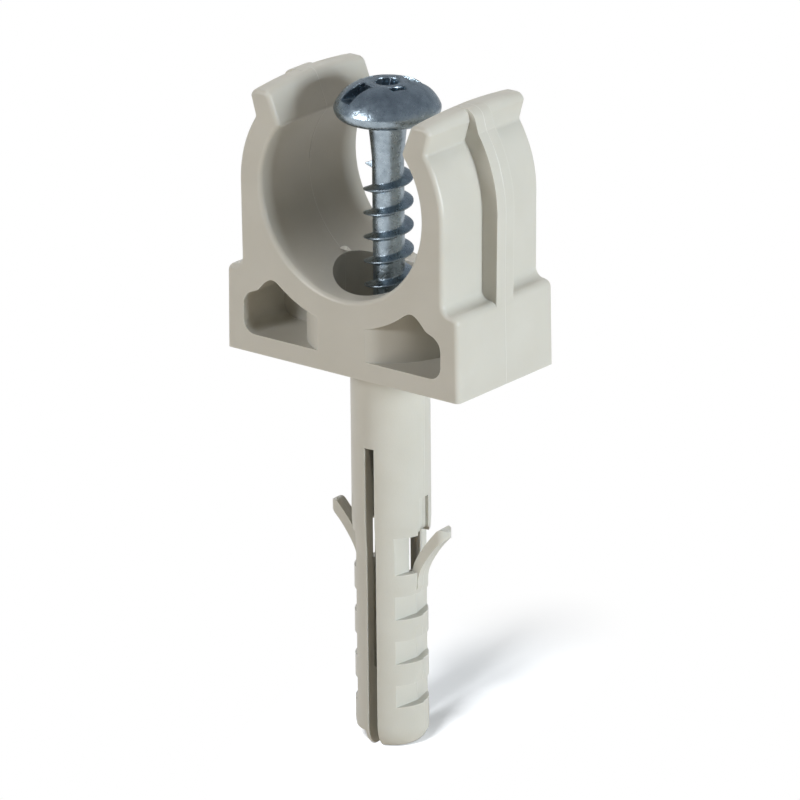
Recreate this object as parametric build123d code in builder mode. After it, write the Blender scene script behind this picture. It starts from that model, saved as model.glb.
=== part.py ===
from build123d import *
import os
from math import cos, radians, sin, sqrt

# Pipe clip with its wall plug and screw, for a pipe of 20 mm outside diameter.
# The wall is the plane Z = 0, +Z points out of the wall, and the pipe runs along Y.

# Driving dimensions of the clip
pipe_diameter = 20.0
depth = 15.4
base_ledge = 1.83
base_height = 8.95
wall = 2.82
rib_width = 2.7
bore_height = 17.88
lip_top = 28.15
lip_top_at_ends = 27.6
throat_half = 7.62
lip_width = 3.68
lip_ramp = 1.5
lip_drop = 1.25
rim_round = 0.5

# Driving dimensions of the pockets and of the screw hole
floor_thickness = 1.95
pocket_side = 12.45
boss_radius = 8.25
counterbore_radius = 5.6
counterbore_floor = 2.5

# Driving dimensions of the wall plug, which stands turned a little in the clip
plug_diameter = 8.0
plug_length = 40.9
plug_turn = 5.0
plug_clearance = 0.1
collar_radius = 5.3
collar_thickness = 1.0
nose_width = 1.5
nose_height = 2.5
slot_width = 1.1
slot_depth = 8.8
ledge_depths = [22.2, 26.95, 31.7, 36.35]

# Driving dimensions of the screw
screw_diameter = 5.0
screw_length = 35.0
thread_pitch = 2.5
core_radius = 1.6
neck_radius = 1.95
head_diameter = 10.7
head_height = 3.65
head_underside = 24.85
thread_start = -6.59
recess_turn = 65.0
head_slot_width = 1.9
head_slot_depth = 1.5
cross_span = 5.6
cross_arm = 1.7
cross_depth = 2.6
thread_clearance = 0.12

os.makedirs("parts", exist_ok=True)

bore_radius = pipe_diameter / 2
arm_radius = bore_radius + wall
half_depth = depth / 2
half_rib = rib_width / 2
half_base = arm_radius + base_ledge


def bore_point(radius, angle):
    """A point of the clip's section at a radius and an angle about the pipe's centre."""
    return (radius * cos(radians(angle)), bore_height + radius * sin(radians(angle)))


# Clip body: base, two spring arms with their lips, ribs, pockets and screw hole, one moulding
shoulder = (half_base - 0.1, base_height - 0.2)
foot = (arm_radius - 0.1, base_height + 0.05)
neck = bore_point(arm_radius - 0.05, 33)
throat = (throat_half, bore_height + sqrt(bore_radius**2 - throat_half**2))
ramp_top = (throat_half + lip_ramp, lip_top)
lip_corner = (throat_half + lip_width, lip_top - lip_drop)
lip_round = 0.41 * (lip_width - lip_ramp)
saddle = (0, bore_height - bore_radius)
rib_radius = half_base + 0.07
rib_bend = bore_point(rib_radius, 32.5)
rib_root = arm_radius - wall / 2
rib_tip = (lip_corner[0] + 0.45, lip_top)
rib_back = (ramp_top[0] + 0.48, lip_top - 2.35)

with BuildPart() as clip_body:
    with BuildSketch(Plane.XZ) as section:
        with BuildLine():
            Polyline((0, 0), (half_base, 0), shoulder, foot, (arm_radius, bore_height))
            ThreePointArc((arm_radius, bore_height), bore_point(arm_radius, 16), neck)
            Polyline(neck, lip_corner, (lip_corner[0] - 0.1, lip_top), ramp_top, throat)
            ThreePointArc(throat, bore_point(bore_radius, -20), saddle)
            Line(saddle, (0, 0))
        make_face()
        rounds = ((shoulder, 0.44 * base_ledge), (foot, 0.5 * base_ledge), (neck, 0.5), (throat, 0.5))
        for corner, radius in rounds:
            fillet(section.vertices().sort_by_distance(corner)[0], radius=radius)
        mirror(about=Plane.YZ)
    extrude(amount=half_depth, both=True)

    # The lips are a little higher at the middle of the clip than at its ends
    with BuildSketch(Plane.YZ):
        with BuildLine():
            ThreePointArc((-half_depth, lip_top_at_ends), (0, lip_top), (half_depth, lip_top_at_ends))
            Polyline(
                (half_depth, lip_top_at_ends),
                (half_depth, lip_top + 1),
                (-half_depth, lip_top + 1),
                (-half_depth, lip_top_at_ends),
            )
        make_face()
    extrude(amount=half_base, both=True, mode=Mode.SUBTRACT)
    lip_edges = clip_body.edges().filter_by_position(Axis.Z, lip_top_at_ends - 0.1, lip_top + 0.1)
    fillet([edge for edge in lip_edges if edge.length > half_depth], radius=lip_round)

    # Both ends are rounded all around, apart from the edge that lies on the wall
    ends = clip_body.edges().group_by(Axis.Y)
    rims = [edge for group in (ends[0], ends[-1]) for edge in group if edge.center().Z > 0.1]
    fillet(rims, radius=rim_round)

    # Central ribs, flush with the base's sides, up to the lips
    with BuildSketch(Plane.XZ) as rib:
        with BuildLine():
            Polyline((rib_root, 2), (half_base - 0.03, 2), (half_base - 0.12, base_height))
            Line((half_base - 0.12, base_height), (rib_radius, bore_height))
            ThreePointArc((rib_radius, bore_height), bore_point(rib_radius, 16), rib_bend)
            Polyline(rib_bend, rib_tip, (rib_back[0], lip_top), rib_back)
            ThreePointArc(rib_back, bore_point(rib_root, 20), (rib_root, bore_height))
            Line((rib_root, bore_height), (rib_root, 2))
        make_face()
        fillet(rib.vertices().sort_by_distance(rib_tip)[0], radius=1.4)
        mirror(about=Plane.YZ)
    extrude(amount=half_rib, both=True)

    # Four blind pockets, with a web between front and back and a boss around the screw hole
    with BuildSketch(Plane.XZ.offset(half_depth)) as pockets:
        with BuildLine():
            ThreePointArc(*[bore_point(arm_radius, angle) for angle in (-90, -70, -53)])
            Spline(
                bore_point(arm_radius, -53),
                (8.8, 8.13),
                (9.9, 7.5),
                (10.5, 6.86),
                (11.3, 6.45),
                tangents=((cos(radians(37)), sin(radians(37))), (cos(radians(-22)), sin(radians(-22)))),
            )
            ThreePointArc((11.3, 6.45), (12.1, 5.9), (pocket_side, 5.0))
            Line((pocket_side, 5.0), (pocket_side, floor_thickness))
            Polyline((pocket_side, floor_thickness), (0, floor_thickness), bore_point(arm_radius, -90))
        make_face()
        fillet(pockets.vertices().sort_by_distance((pocket_side, floor_thickness))[0], radius=1.4)
        mirror(about=Plane.YZ)
    pocket_depth = half_depth - half_rib
    front = extrude(amount=-pocket_depth, mode=Mode.PRIVATE)
    upright = (Align.CENTER, Align.CENTER, Align.MIN)
    boss = Cylinder(boss_radius, base_height, align=upright, mode=Mode.PRIVATE)
    add(front - boss, mode=Mode.SUBTRACT)
    add(mirror(front - boss, about=Plane.XZ, mode=Mode.PRIVATE), mode=Mode.SUBTRACT)

    # Screw hole, counterbored for the screw's head and the plug's collar
    with BuildSketch(Plane.XY.offset(counterbore_floor)):
        Circle(counterbore_radius)
    extrude(amount=base_height, mode=Mode.SUBTRACT)
    with BuildSketch():
        Circle(plug_diameter / 2 + plug_clearance)
    extrude(amount=base_height, mode=Mode.SUBTRACT)

clip_body.part.label = "clip_body"
export_step(clip_body.part, "parts/clip_body.step")

# Wall plug: one moulding, slotted into two ribbed halves, each with a barb that stands out
plug_radius = plug_diameter / 2
ribbed_radius = plug_radius - 0.2
far_radius = ribbed_radius - 0.18
plug_top = counterbore_floor + collar_thickness
bore_clear = screw_diameter / 2 + thread_clearance
mouth_radius = bore_clear + 0.53
bore_depth = 34.5
ribbed_top = 18.0
rib_height = 2.3
panel_ridge = 2.9
panel_corner = 2.3
barb_width = 1.9
barb_reach = 6.85
nose_step = 39.3
nose_lining = 0.45

plug_plan = Plane.XY.rotated((0, 0, plug_turn))
plug_side = Plane(origin=(0, 0, 0), x_dir=plug_plan.x_dir, z_dir=-plug_plan.y_dir)


def plug_band(top, bottom):
    """The outline plane and height of a band of the plug between two depths below the wall."""
    return plug_plan.offset(-bottom), bottom - top


with BuildPart() as wall_plug:
    with BuildSketch(plug_side):
        with BuildLine():
            Polyline((0, plug_top), (collar_radius, plug_top), (collar_radius, counterbore_floor))
            Polyline((collar_radius, counterbore_floor), (plug_radius, counterbore_floor))
            Line((plug_radius, counterbore_floor), (plug_radius, -ribbed_top + 1))
            Line((plug_radius, -ribbed_top + 1), (ribbed_radius, -ribbed_top - 2))
            Line((ribbed_radius, -ribbed_top - 2), (ribbed_radius, -plug_length + nose_height))
            EllipticalCenterArc(
                (ribbed_radius - nose_width, -plug_length + nose_height),
                nose_width,
                nose_height,
                start_angle=270,
                arc_size=90,
            )
            Polyline((ribbed_radius - nose_width, -plug_length), (0, -plug_length), (0, plug_top))
        make_face()
    revolve(axis=Axis.Z)

    # Bore: wide above, clear of the thread where the screw runs, closed near the tip
    with BuildSketch(plug_side):
        with BuildLine():
            Polyline(
                (0, plug_top),
                (mouth_radius, plug_top),
                (mouth_radius, -slot_depth),
                (bore_clear, -slot_depth - 5),
                (bore_clear, -bore_depth + 2),
                (0.9, -bore_depth),
                (0, -bore_depth),
                (0, plug_top),
            )
        make_face()
    revolve(axis=Axis.Z, mode=Mode.SUBTRACT)

    # The far half of the mould is a little smaller, which leaves a step along the middle
    outline, height = plug_band(ribbed_top + 0.5, plug_length)
    with BuildSketch(outline):
        with Locations((0, plug_radius)):
            Rectangle(3 * plug_radius, 2 * plug_radius)
        Circle(far_radius, mode=Mode.SUBTRACT)
    extrude(amount=height, mode=Mode.SUBTRACT)

    # Flat panels between the ribs, in two facets that meet in the middle
    panel_tops = [ribbed_top + 0.2] + [depth_down + rib_height for depth_down in ledge_depths[:-1]]
    for panel_top, ledge in zip(panel_tops, ledge_depths):
        outline, height = plug_band(panel_top, ledge)
        with BuildSketch(outline):
            with BuildLine():
                Polyline(
                    (panel_ridge, 0),
                    (panel_corner, 3.1),
                    (panel_corner, plug_radius),
                    (2 * plug_radius, plug_radius),
                    (2 * plug_radius, -plug_radius),
                    (panel_corner, -plug_radius),
                    (panel_corner, -3.1),
                    (panel_ridge, 0),
                )
            make_face()
            mirror(about=Plane.YZ)
        extrude(amount=height, mode=Mode.SUBTRACT)

    # Ribs fall away below their ledges
    with BuildSketch(plug_side):
        for ledge in ledge_depths[:-1]:
            with BuildLine():
                Polyline(
                    (ribbed_radius + 0.02, -ledge),
                    (ribbed_radius - 0.3, -ledge - rib_height),
                    (2 * plug_radius, -ledge - rib_height),
                    (2 * plug_radius, -ledge),
                    close=True,
                )
            make_face()
        mirror(about=Plane.YZ)
    extrude(amount=plug_diameter, both=True, mode=Mode.SUBTRACT)

    # Recesses that take the folded barbs, the lower part open to the bore
    for low, high, half, floor in ((ledge_depths[0], 17.8, 0.98, 0), (17.8, 14.3, 0.75, 3.55)):
        outline, height = plug_band(high, low)
        with BuildSketch(outline):
            for side in (-1, 1):
                with Locations((side * (floor + plug_radius), 0)):
                    Rectangle(2 * plug_radius, 2 * half)
        extrude(amount=height, mode=Mode.SUBTRACT)

    # Barbs with rounded tips, the left one a little narrower, higher and more bent out
    for side, width, lean, lift in ((1, barb_width, 0, -0.15), (-1, 0.75 * barb_width, -1, 0.75)):
        with BuildSketch(plug_side):
            with BuildLine(mode=Mode.PRIVATE) as barb:
                outer = Spline((3.7, -23.6), (3.98, -21.9), (4.74, -20.5), (5.6, -19.3), (6.6, -18.25))
                inner = Spline((5.9, -17.3), (4.64, -18.85), (3.75, -20.2), (3.2, -21.4), (3.0, -22.6))
                ThreePointArc(outer @ 1, (barb_reach, -17.3), inner @ 0)
                Polyline(inner @ 1, (2.9, -24.4), (3.4, -24.4), outer @ 0)
            edges = barb.line.rotate(Axis((3.4, -22.8, 0), (0, 0, 1)), lean).translate((0, lift, 0))
            if side < 0:
                edges = edges.mirror(Plane.YZ)
            make_face(edges.edges())
        extrude(amount=width / 2, both=True)
        outline, height = plug_band(ribbed_top - 3, ribbed_top + 3)
        with BuildSketch(outline):
            with Locations((side * (barb_reach + 0.1), 0)):
                Rectangle(width, 2 * barb_width)
            with Locations((side * (barb_reach + 0.1 - width / 2), 0)):
                Circle(width / 2, mode=Mode.SUBTRACT)
        extrude(amount=height, mode=Mode.SUBTRACT)

    # The left half's nose is cut back outside the face that lines the slot
    outline, height = plug_band(nose_step, plug_length + 1)
    with BuildSketch(outline):
        with Locations((-slot_width / 2 - nose_lining - plug_radius, 0)):
            Rectangle(2 * plug_radius, 3 * plug_radius)
    extrude(amount=height, mode=Mode.SUBTRACT)

    # Slot between the halves, open along the whole ribbed part
    outline, height = plug_band(slot_depth, plug_length + 1)
    with BuildSketch(outline):
        Rectangle(slot_width, 3 * plug_radius)
    extrude(amount=height, mode=Mode.SUBTRACT)

wall_plug.part.label = "wall_plug"
export_step(wall_plug.part, "parts/wall_plug.step")

# Screw: pan head with a slot and a cross, plain neck, coarse thread and a point, cold formed steel
head_radius = head_diameter / 2
thread_radius = screw_diameter / 2
head_top = head_underside + head_height
tip = head_underside - screw_length
point_top = tip + 2.9
thread_top = 19.75
thread_depth = thread_radius - core_radius

with BuildPart() as screw:
    with BuildSketch(Plane.XZ):
        with BuildLine():
            Line((0, head_top), (1.2, head_top))
            ThreePointArc((1.2, head_top), (4.1, head_top - 0.78), (head_radius, head_underside + 1.2))
            ThreePointArc(
                (head_radius, head_underside + 1.2),
                (head_radius - 0.15, head_underside + 0.5),
                (head_radius - 0.9, head_underside),
            )
            Polyline(
                (head_radius - 0.9, head_underside),
                (neck_radius + 0.5, head_underside),
                (neck_radius, head_underside - 0.6),
                (core_radius + 0.1, thread_top + 2),
                (core_radius, thread_top + 0.85),
                (core_radius, point_top),
                (0.12, tip),
                (0, tip),
                (0, head_top),
            )
        make_face()
    revolve(axis=Axis.Z)

    # Thread, right-handed
    with BuildLine(Plane.XY.offset(thread_start)):
        path = Helix(pitch=thread_pitch, height=thread_top - thread_start, radius=core_radius)
    with BuildSketch(Plane(origin=path @ 0, x_dir=(1, 0, 0), z_dir=path % 0)):
        with BuildLine():
            Polyline((-0.15, -0.5), (thread_depth, -0.06), (thread_depth, 0.06), (-0.15, 0.5), close=True)
        make_face()
    sweep(path=path, is_frenet=True)

    # Slot and cross in the head
    with BuildSketch(Plane.XY.offset(head_top).rotated((0, 0, recess_turn))):
        Rectangle(head_diameter + 1, head_slot_width)
    extrude(amount=-head_slot_depth, mode=Mode.SUBTRACT)
    with BuildSketch(Plane.XY.offset(head_top).rotated((0, 0, recess_turn))):
        Rectangle(cross_span, cross_arm)
        Rectangle(cross_arm, cross_span)
    extrude(amount=-cross_depth, taper=11, mode=Mode.SUBTRACT)

screw.part.label = "screw"
export_step(screw.part, "parts/screw.step")
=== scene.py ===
from math import cos, pi, radians, sin

import bmesh
import bpy
import numpy as np
from mathutils import Matrix, Vector


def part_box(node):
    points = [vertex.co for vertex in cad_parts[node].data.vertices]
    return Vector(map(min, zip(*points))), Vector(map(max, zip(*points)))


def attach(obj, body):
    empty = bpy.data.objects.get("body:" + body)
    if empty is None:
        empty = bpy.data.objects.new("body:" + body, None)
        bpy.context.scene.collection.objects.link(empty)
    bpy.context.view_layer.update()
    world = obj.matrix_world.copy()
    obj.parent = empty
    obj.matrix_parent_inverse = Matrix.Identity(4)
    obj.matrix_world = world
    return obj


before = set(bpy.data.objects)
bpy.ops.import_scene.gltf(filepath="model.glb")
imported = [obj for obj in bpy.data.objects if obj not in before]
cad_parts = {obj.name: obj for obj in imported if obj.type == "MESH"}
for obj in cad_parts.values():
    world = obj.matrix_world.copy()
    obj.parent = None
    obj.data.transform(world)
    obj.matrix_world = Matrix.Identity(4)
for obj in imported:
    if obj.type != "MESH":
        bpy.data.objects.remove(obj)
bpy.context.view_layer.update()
MM = 0.001


# Clip body
# One injection moulding in a light warm grey polypropylene, satin from the mould, with soft edges,
# a faint sink and flow mottle, and a fine grain.

def new_group(name, inputs, outputs):
    """An empty shader node group with the named sockets, each given as (name, kind, value)."""
    group = bpy.data.node_groups.new(name, "ShaderNodeTree")
    for socket, kind, value in inputs:
        made = group.interface.new_socket(socket, in_out="INPUT", socket_type=kind)
        if value is not None:
            made.default_value = value
    for socket, kind in outputs:
        group.interface.new_socket(socket, in_out="OUTPUT", socket_type=kind)
    start = group.nodes.new("NodeGroupInput")
    end = group.nodes.new("NodeGroupOutput")
    return group, start, end


def math_node(tree, operation, first, second=None, clamp=False):
    """A Math node of the tree, fed by sockets or numbers."""
    node = tree.nodes.new("ShaderNodeMath")
    node.operation = operation
    node.use_clamp = clamp
    for socket, value in zip(node.inputs, (first, second)):
        if value is None:
            continue
        if hasattr(value, "links"):
            tree.links.new(value, socket)
        else:
            socket.default_value = value
    return node.outputs[0]


def noise_node(tree, coordinates, scale, detail, roughness=0.5):
    """A Noise texture on the given coordinates."""
    node = tree.nodes.new("ShaderNodeTexNoise")
    node.inputs["Scale"].default_value = scale
    node.inputs["Detail"].default_value = detail
    node.inputs["Roughness"].default_value = roughness
    tree.links.new(coordinates, node.inputs["Vector"])
    return node.outputs["Fac"]


def mix_colour(tree, factor, first, second):
    """A Mix node for two colours."""
    node = tree.nodes.new("ShaderNodeMix")
    node.data_type = "RGBA"
    for socket, value in ((node.inputs[0], factor), (node.inputs[6], first), (node.inputs[7], second)):
        if hasattr(value, "links"):
            tree.links.new(value, socket)
        else:
            socket.default_value = value
    return node.outputs[2]


# Moulded skin: a slow mottle from the flow of the melt, a fine grain, and a mask of the edges, where the
# plastics paint a highlight
skin, skin_in, skin_out = new_group(
    "moulded_skin",
    [("Mottle Scale", "NodeSocketFloat", 160.0), ("Grain Scale", "NodeSocketFloat", 6000.0),
     ("Edge Radius", "NodeSocketFloat", 0.0003), ("Grain Depth", "NodeSocketFloat", 0.1)],
    [("Mottle", "NodeSocketFloat"), ("Grain", "NodeSocketFloat"), ("Edge", "NodeSocketFloat"),
     ("Normal", "NodeSocketVector")],
)
skin_place = skin.nodes.new("ShaderNodeTexCoord").outputs["Object"]
mottle = noise_node(skin, skin_place, 160.0, 3.0)
skin.links.new(skin_in.outputs["Mottle Scale"], mottle.node.inputs["Scale"])
grain = noise_node(skin, skin_place, 6000.0, 2.0, 0.6)
skin.links.new(skin_in.outputs["Grain Scale"], grain.node.inputs["Scale"])
grain_bump = skin.nodes.new("ShaderNodeBump")
grain_bump.inputs["Distance"].default_value = 0.00002
skin.links.new(skin_in.outputs["Grain Depth"], grain_bump.inputs["Strength"])
skin.links.new(grain, grain_bump.inputs["Height"])
rounded = skin.nodes.new("ShaderNodeBevel")
rounded.samples = 6
skin.links.new(skin_in.outputs["Edge Radius"], rounded.inputs["Radius"])
true_normal = skin.nodes.new("ShaderNodeNewGeometry").outputs["True Normal"]
turn = skin.nodes.new("ShaderNodeVectorMath")
turn.operation = "DOT_PRODUCT"
skin.links.new(rounded.outputs["Normal"], turn.inputs[0])
skin.links.new(true_normal, turn.inputs[1])
# Mask of the edges, where the bevelled normal turns away from the true normal; the plastics pale their
# colour here as a painted highlight
edge = math_node(skin, "MULTIPLY", math_node(skin, "SUBTRACT", 1.0, turn.outputs["Value"]), 3.0, clamp=True)
skin.links.new(mottle, skin_out.inputs["Mottle"])
skin.links.new(grain, skin_out.inputs["Grain"])
skin.links.new(edge, skin_out.inputs["Edge"])
skin.links.new(grain_bump.outputs["Normal"], skin_out.inputs["Normal"])


# Parting line: a hair line of flash where the halves of the mould met, in a plane through the piece's
# middle that is turned about Z
parting, parting_in, parting_out = new_group(
    "parting_line",
    [("Turn", "NodeSocketFloat", 0.0), ("Width", "NodeSocketFloat", 0.00007),
     ("Normal", "NodeSocketVector", None)],
    [("Line", "NodeSocketFloat"), ("Normal", "NodeSocketVector")],
)
parting_place = parting.nodes.new("ShaderNodeTexCoord").outputs["Object"]
parting_turn = parting.nodes.new("ShaderNodeVectorRotate")
parting_turn.rotation_type = "Z_AXIS"
parting.links.new(parting_place, parting_turn.inputs["Vector"])
parting.links.new(parting_in.outputs["Turn"], parting_turn.inputs["Angle"])
parting_split = parting.nodes.new("ShaderNodeSeparateXYZ")
parting.links.new(parting_turn.outputs["Vector"], parting_split.inputs[0])
wander = noise_node(parting, parting_place, 700.0, 2.0)
beside = math_node(parting, "ABSOLUTE", parting_split.outputs["Y"])
ratio = math_node(parting, "DIVIDE", beside, parting_in.outputs["Width"])
ridge = math_node(parting, "SUBTRACT", 1.0, ratio, clamp=True)
parting.links.new(math_node(parting, "MULTIPLY", ridge, math_node(parting, "ADD", wander, 0.3)),
                  parting_out.inputs["Line"])
parting_bump = parting.nodes.new("ShaderNodeBump")
parting_bump.inputs["Strength"].default_value = 0.8
parting_bump.inputs["Distance"].default_value = 0.00004
parting.links.new(ridge, parting_bump.inputs["Height"])
parting.links.new(parting_in.outputs["Normal"], parting_bump.inputs["Normal"])
parting.links.new(parting_bump.outputs["Normal"], parting_out.inputs["Normal"])


def moulded_plastic(name, pale, deep, rim, roughness, turn):
    """A satin moulded plastic whose colour drifts between two greys, pales at its edges as a painted
    highlight and pales along its parting line, which lies in a plane turned about Z by the angle in
    degrees."""
    material = bpy.data.materials.new(name)
    material.use_nodes = True
    tree = material.node_tree
    shader = tree.nodes["Principled BSDF"]
    surface = tree.nodes.new("ShaderNodeGroup")
    surface.node_tree = skin
    drift = math_node(tree, "MULTIPLY_ADD", surface.outputs["Mottle"], 2.2, clamp=True)
    drift.node.inputs[2].default_value = -0.6
    body = mix_colour(tree, drift, (*deep, 1), (*pale, 1))
    seam = tree.nodes.new("ShaderNodeGroup")
    seam.node_tree = parting
    seam.inputs["Turn"].default_value = radians(-turn)
    tree.links.new(surface.outputs["Normal"], seam.inputs["Normal"])
    # Painted highlight: the colour pales towards the rim grey at the edges; it also pales along the parting
    # line
    edge_highlight_and_seam = math_node(tree, "MAXIMUM", math_node(tree, "MULTIPLY", surface.outputs["Edge"], 0.5),
                     math_node(tree, "MULTIPLY", seam.outputs["Line"], 0.8))
    colour = mix_colour(tree, edge_highlight_and_seam, body, (*rim, 1))
    speck = math_node(tree, "MULTIPLY_ADD", surface.outputs["Grain"], 0.16)
    speck.node.inputs[2].default_value = roughness - 0.08
    tree.links.new(colour, shader.inputs["Base Color"])
    tree.links.new(speck, shader.inputs["Roughness"])
    tree.links.new(seam.outputs["Normal"], shader.inputs["Normal"])
    shader.inputs["IOR"].default_value = 1.49
    shader.inputs["Subsurface Weight"].default_value = 0.12
    shader.inputs["Subsurface Radius"].default_value = (1.0, 0.8, 0.6)
    shader.inputs["Subsurface Scale"].default_value = 0.0008
    return material, surface


def dress(node, material):
    """Gives a carried-over solid its material in every slot."""
    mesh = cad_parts[node].data
    mesh.materials.clear()
    mesh.materials.append(material)


clip_plastic, clip_skin = moulded_plastic(
    "clip_plastic", pale=(0.60, 0.59, 0.545), deep=(0.565, 0.552, 0.503), rim=(0.74, 0.735, 0.70),
    roughness=0.36, turn=0)
clip_skin.inputs["Grain Depth"].default_value = 0.55
dress("clip_body", clip_plastic)


def close_and_smooth(mesh):
    """Joins the points that share a place, turns every face outwards and shades the mesh smooth."""
    work = bmesh.new()
    work.from_mesh(mesh)
    bmesh.ops.remove_doubles(work, verts=work.verts, dist=1e-7)
    bmesh.ops.recalc_face_normals(work, faces=work.faces)
    work.to_mesh(mesh)
    work.free()
    mesh.shade_smooth()


def gate_nub(middle, length, width, height, turns=32, rings=12):
    """The broken stub of the gate, a low ridge: a hill over an ellipse whose height falls with the
    cosine of the distance from its crest and waves a little along its length. The grid runs over
    the turn around the crest and the share of the way out to the rim, closed below by a point."""
    turn, out = np.meshgrid(np.linspace(0, 2 * pi, turns, endpoint=False), np.linspace(0, 1, rings),
                            indexing="ij")
    x = middle[0] + width / 2 * out * np.cos(turn)
    y = middle[1] + length / 2 * out * np.sin(turn)
    wave_share, wave_rate, wave_start = 0.35, 9, 0.6
    wave = 1 + wave_share * np.sin(wave_rate * out * np.sin(turn) + wave_start)
    z = middle[2] + height * wave * np.cos(out * pi / 2)
    points = np.stack([x, y, z], axis=-1).reshape(-1, 3)
    low = len(points)
    points = np.vstack([points, [[middle[0], middle[1], middle[2] - height / 2]]])
    near, ring = np.meshgrid(np.arange(turns), np.arange(rings - 1), indexing="ij")
    far = (near + 1) % turns
    quads = np.stack([near * rings + ring, near * rings + ring + 1, far * rings + ring + 1,
                      far * rings + ring], axis=-1).reshape(-1, 4)
    rim = np.arange(turns)
    below = np.stack([rim * rings + rings - 1, np.full(turns, low), (rim + 1) % turns * rings + rings - 1],
                     axis=-1)
    mesh = bpy.data.meshes.new("gate_nub")
    mesh.from_pydata(points.tolist(), [], quads.tolist() + below.tolist())
    close_and_smooth(mesh)
    return mesh


nub_mesh = gate_nub(
    middle=(-5.5 * MM, 0.0, 9.98 * MM), length=0.45 * MM, width=1.5 * MM, height=0.26 * MM)
nub_mesh.materials.append(clip_plastic)
nub = bpy.data.objects.new("gate_nub", nub_mesh)
bpy.context.scene.collection.objects.link(nub)
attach(nub, "clip")


# Wall plug
# One moulding of a softer, slightly glossier grey nylon, split lengthways, with the same soft edges.

plug_plastic, plug_skin = moulded_plastic(
    "plug_plastic", pale=(0.61, 0.605, 0.56), deep=(0.575, 0.565, 0.515), rim=(0.74, 0.735, 0.70),
    roughness=0.31, turn=5)
plug_skin.inputs["Mottle Scale"].default_value = 220.0
plug_skin.inputs["Grain Depth"].default_value = 0.5
dress("wall_plug", plug_plastic)


# Screw
# Cold-headed steel with a rolled thread, zinc plated and passivated to a bluish silver.

zinc = bpy.data.materials.new("zinc_plate")
zinc.use_nodes = True
zinc_tree = zinc.node_tree
zinc_shader = zinc_tree.nodes["Principled BSDF"]
zinc_place = zinc_tree.nodes.new("ShaderNodeTexCoord").outputs["Object"]
blotch = noise_node(zinc_tree, zinc_place, 900.0, 4.0, 0.6)
crystals = noise_node(zinc_tree, zinc_place, 1900.0, 4.0, 0.65)
zinc_colour = mix_colour(zinc_tree, blotch, (0.13, 0.17, 0.21, 1), (0.56, 0.65, 0.72, 1))
zinc_rough = math_node(zinc_tree, "MULTIPLY_ADD", crystals, 0.36)
zinc_rough.node.inputs[2].default_value = 0.11
zinc_bump = zinc_tree.nodes.new("ShaderNodeBump")
zinc_bump.inputs["Strength"].default_value = 0.55
zinc_bump.inputs["Distance"].default_value = 0.00009
zinc_tree.links.new(crystals, zinc_bump.inputs["Height"])
zinc_round = zinc_tree.nodes.new("ShaderNodeBevel")
zinc_round.samples = 6
zinc_round.inputs["Radius"].default_value = 0.0002
zinc_tree.links.new(zinc_round.outputs["Normal"], zinc_bump.inputs["Normal"])
zinc_tree.links.new(zinc_colour, zinc_shader.inputs["Base Color"])
zinc_tree.links.new(zinc_rough, zinc_shader.inputs["Roughness"])
zinc_tree.links.new(zinc_bump.outputs["Normal"], zinc_shader.inputs["Normal"])
zinc_shader.inputs["Metallic"].default_value = 1.0
dress("screw", zinc)


# Studio
# A white table that keeps the soft shadow beside the plug's foot, soft lamps on the right, in front,
# above and behind, one that lights the table alone, and a surround that the camera sees as white.

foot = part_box("wall_plug")[0].z
table_mesh = bpy.data.meshes.new("table")
half_table = 0.6
table_mesh.from_pydata(
    [(x * half_table, y * half_table, foot) for x, y in ((-1, -1), (1, -1), (1, 1), (-1, 1))],
    [], [(0, 1, 2, 3)])
table = bpy.data.objects.new("table", table_mesh)
bpy.context.scene.collection.objects.link(table)
paper = bpy.data.materials.new("white_paper")
paper.use_nodes = True
paper_tree = paper.node_tree
paper_tree.nodes.clear()
paper_out = paper_tree.nodes.new("ShaderNodeOutputMaterial")
paper_light = paper_tree.nodes.new("ShaderNodeLightPath")
paper_seen = math_node(paper_tree, "MAXIMUM", paper_light.outputs["Is Camera Ray"],
                       math_node(paper_tree, "MULTIPLY", paper_light.outputs["Is Glossy Ray"], 0.5))
paper_place = paper_tree.nodes.new("ShaderNodeTexCoord").outputs["Object"]
paper_scale = paper_tree.nodes.new("ShaderNodeMapping")
paper_scale.vector_type = "TEXTURE"
paper_scale.inputs["Location"].default_value = (-0.003, 0.009, foot)
paper_scale.inputs["Rotation"].default_value = (0, 0, radians(9))
paper_scale.inputs["Scale"].default_value = (0.0145, 0.037, 1.0)
paper_tree.links.new(paper_place, paper_scale.inputs["Vector"])
paper_offset = paper_tree.nodes.new("ShaderNodeVectorMath")
paper_offset.operation = "LENGTH"
paper_tree.links.new(paper_scale.outputs["Vector"], paper_offset.inputs[0])
fade = paper_tree.nodes.new("ShaderNodeMapRange")
fade.interpolation_type = "SMOOTHSTEP"
for socket, value in (("From Min", 0.2), ("From Max", 1.0), ("To Min", 0.0), ("To Max", 1.0)):
    fade.inputs[socket].default_value = value
paper_tree.links.new(paper_offset.outputs["Value"], fade.inputs["Value"])
paper_matte = paper_tree.nodes.new("ShaderNodeBsdfDiffuse")
paper_tree.links.new(mix_colour(paper_tree, paper_seen, (0.32, 0.28, 0.22, 1), (0.86, 0.90, 0.96, 1)),
                     paper_matte.inputs["Color"])
paper_glow = paper_tree.nodes.new("ShaderNodeEmission")
paper_glow.inputs["Strength"].default_value = 1.0
paper_lift = paper_tree.nodes.new("ShaderNodeEmission")
paper_lift.inputs["Color"].default_value = (0.97, 0.985, 1.0, 1)
paper_tree.links.new(math_node(paper_tree, "MULTIPLY", paper_seen, 0.22), paper_lift.inputs["Strength"])
paper_near = paper_tree.nodes.new("ShaderNodeAddShader")
paper_tree.links.new(paper_matte.outputs[0], paper_near.inputs[0])
paper_tree.links.new(paper_lift.outputs[0], paper_near.inputs[1])
paper_mix = paper_tree.nodes.new("ShaderNodeMixShader")
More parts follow.
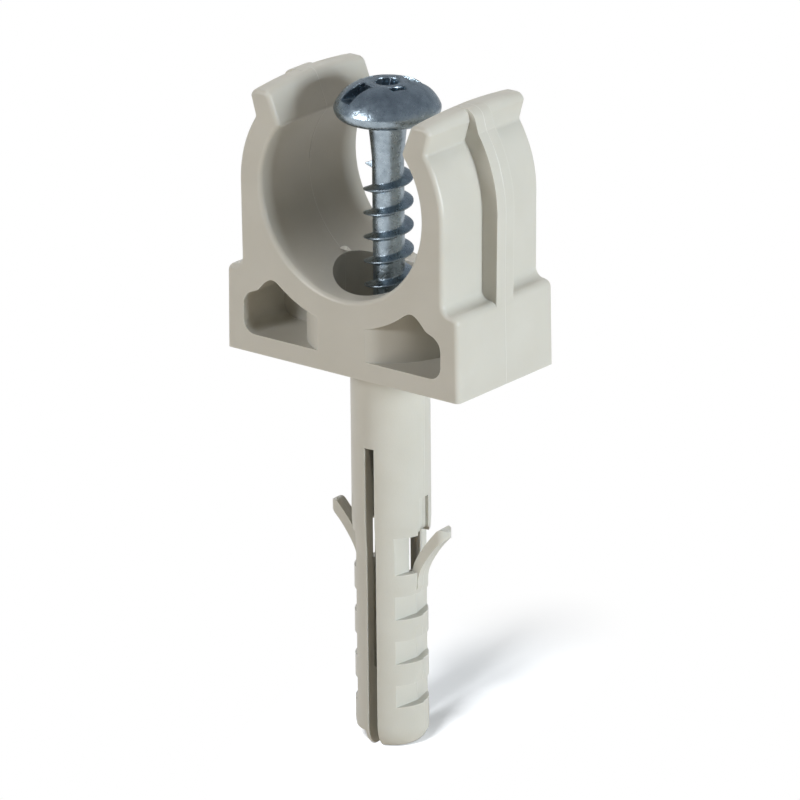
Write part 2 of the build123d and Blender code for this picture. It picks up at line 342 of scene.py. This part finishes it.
paper_tree.links.new(math_node(paper_tree, "MULTIPLY", paper_seen, fade.outputs["Result"]),
                     paper_mix.inputs[0])
paper_tree.links.new(paper_near.outputs[0], paper_mix.inputs[1])
paper_tree.links.new(paper_glow.outputs[0], paper_mix.inputs[2])
paper_tree.links.new(paper_mix.outputs[0], paper_out.inputs["Surface"])
table_mesh.materials.append(paper)

scene = bpy.context.scene
scene.view_settings.view_transform = "Standard"
world = bpy.data.worlds.new("studio")
scene.world = world
world.use_nodes = True
sky = world.node_tree
sky.nodes.clear()
sky_out = sky.nodes.new("ShaderNodeOutputWorld")
sky_light = sky.nodes.new("ShaderNodeLightPath")
sky_way = sky.nodes.new("ShaderNodeTexCoord").outputs["Generated"]
sky_split = sky.nodes.new("ShaderNodeSeparateXYZ")
sky.links.new(sky_way, sky_split.inputs[0])
sky_ramp = sky.nodes.new("ShaderNodeValToRGB")
sky_ramp.color_ramp.elements[0].position = 0.0
sky_ramp.color_ramp.elements[0].color = (0.38, 0.41, 0.44, 1)
sky_ramp.color_ramp.elements[1].position = 1.0
sky_ramp.color_ramp.elements[1].color = (0.23, 0.25, 0.28, 1)
sky.links.new(sky_split.outputs["Z"], sky_ramp.inputs["Fac"])
sky_tint = mix_colour(sky, sky_light.outputs["Is Glossy Ray"], (0.095, 0.078, 0.052, 1),
                      sky_ramp.outputs["Color"])
sky_room = sky.nodes.new("ShaderNodeBackground")
sky.links.new(sky_tint, sky_room.inputs["Color"])
sky_white = sky.nodes.new("ShaderNodeBackground")
sky_white.inputs["Color"].default_value = (1, 1, 1, 1)
sky_mix = sky.nodes.new("ShaderNodeMixShader")
sky.links.new(sky_light.outputs["Is Camera Ray"], sky_mix.inputs[0])
sky.links.new(sky_room.outputs[0], sky_mix.inputs[1])
sky.links.new(sky_white.outputs[0], sky_mix.inputs[2])
sky.links.new(sky_mix.outputs[0], sky_out.inputs["Surface"])


def soft_lamp(name, azimuth, elevation, distance, width, height, power, colour):
    """A rectangular area lamp that faces the clip from the given side."""
    data = bpy.data.lights.new(name, "AREA")
    data.shape = "RECTANGLE"
    data.size = width
    data.size_y = height
    data.energy = power
    data.color = colour
    lamp = bpy.data.objects.new(name, data)
    bpy.context.scene.collection.objects.link(lamp)
    a, e = radians(azimuth), radians(elevation)
    back = Vector((sin(a) * cos(e), -cos(a) * cos(e), sin(e)))
    lamp.location = back * distance
    lamp.rotation_mode = "QUATERNION"
    lamp.rotation_quaternion = (-back).to_track_quat("-Z", "Y")
    return lamp


lit_table = bpy.data.collections.new("lit_table")
lit_table.objects.link(table)
spared_table = bpy.data.collections.new("spared_table")
spared_table.objects.link(table)
spared_table.collection_objects[0].light_linking.link_state = "EXCLUDE"
soft_lamp("right_lamp", 91, 9, 0.5, 0.13, 0.14, 2.2, (0.92, 1.0, 1.05))
soft_lamp("front_lamp", -22, 22, 0.5, 0.17, 0.15, 1.2, (0.98, 0.99, 1.0))
top_lamp = soft_lamp("top_lamp", 200, 84, 0.5, 0.16, 0.16, 0.8, (1.0, 0.97, 0.93))
top_lamp.visible_glossy = False
top_lamp.light_linking.receiver_collection = spared_table
back_lamp = soft_lamp("back_lamp", 217, 24, 0.5, 0.22, 0.22, 1.25, (0.98, 0.99, 1.0))
back_lamp.visible_glossy = False
back_lamp.light_linking.receiver_collection = spared_table
shadow_lamp = soft_lamp("shadow_lamp", 15, 42, 0.5, 0.11, 0.11, 3.0, (1.0, 0.985, 0.96))
shadow_lamp.light_linking.receiver_collection = lit_table


# Camera at the photograph's angle, in pixels of its picture: the fitted line of sight passes through
# a point off the middle, so the camera is aimed through the middle instead and needs no shift
view_azimuth, view_elevation, view_roll = radians(38.56), radians(18.96), radians(0.57)
focal = 8852
picture = 800
sight_right, sight_down = 389.5, 307.1
sensor = 36.0
distance = 0.8805
target = Vector((0, 0, 0.005))
right = Vector((cos(view_azimuth), sin(view_azimuth), 0))
ahead = Vector((-sin(view_azimuth) * cos(view_elevation), cos(view_azimuth) * cos(view_elevation),
                -sin(view_elevation)))
up = right.cross(ahead)
lens_right = cos(view_roll) * right - sin(view_roll) * up
lens_up = sin(view_roll) * right + cos(view_roll) * up
toward = (focal * ahead + (picture / 2 - sight_right) * lens_right
          + (sight_down - picture / 2) * lens_up).normalized()
side = toward.cross(lens_up).normalized()
camera_data = bpy.data.cameras.new("camera")
camera_data.sensor_width = sensor
camera_data.lens = sensor * focal / picture
camera_data.clip_start = 0.05
camera_data.clip_end = 20
camera = bpy.data.objects.new("camera", camera_data)
scene.collection.objects.link(camera)
camera.matrix_world = Matrix.Translation(target - ahead * distance) @ Matrix(
    (side, side.cross(toward), -toward)).transposed().to_4x4()
scene.camera = camera
